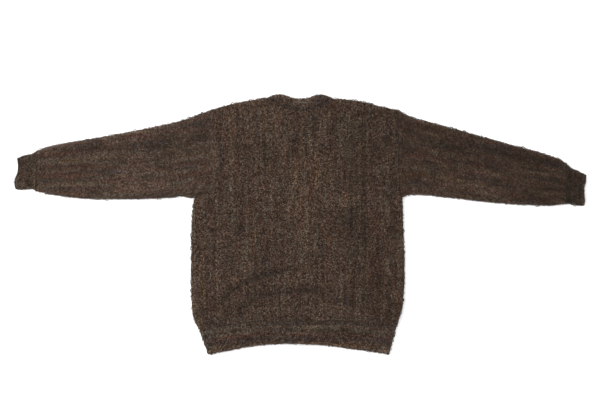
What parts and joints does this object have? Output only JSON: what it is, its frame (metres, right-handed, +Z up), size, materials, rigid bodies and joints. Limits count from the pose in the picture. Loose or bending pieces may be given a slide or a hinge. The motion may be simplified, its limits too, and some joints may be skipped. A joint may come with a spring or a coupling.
{
  "type": "striped cardigan laid flat",
  "caption": "Long-sleeved looped-yarn cardigan with faint stripes, laid flat with its back up and its sleeves spread.",
  "frame": {"origin": "on the surface that the garment lies on, under the middle of its overall length and width", "axes": "+Z up, with the garment's back up; +Y towards the neck; +X towards the wearer's right sleeve"},
  "size_m": [1.569, 0.7129, 0.0177],
  "materials": {
    "body_knit": "matt looped wool knit",
    "sleeve_knit": "matt looped wool knit",
    "band_knit": "matt looped wool knit, closer than the body",
    "button": "dark brown, satin"
  },
  "bodies": {
    "root": {"back": "body_knit", "front_left": "body_knit", "front_right": "body_knit", "sleeve_left": "sleeve_knit", "sleeve_right": "sleeve_knit", "cuff_left": "band_knit", "cuff_right": "band_knit", "hem_back": "band_knit", "hem_front_left": "band_knit", "hem_front_right": "band_knit", "neckband": "band_knit", "front_band_left": "band_knit", "front_band_right": "band_knit", "button_1": "button", "button_2": "button", "button_3": "button", "button_4": "button", "button_5": "button"}
  },
  "joints": []
}
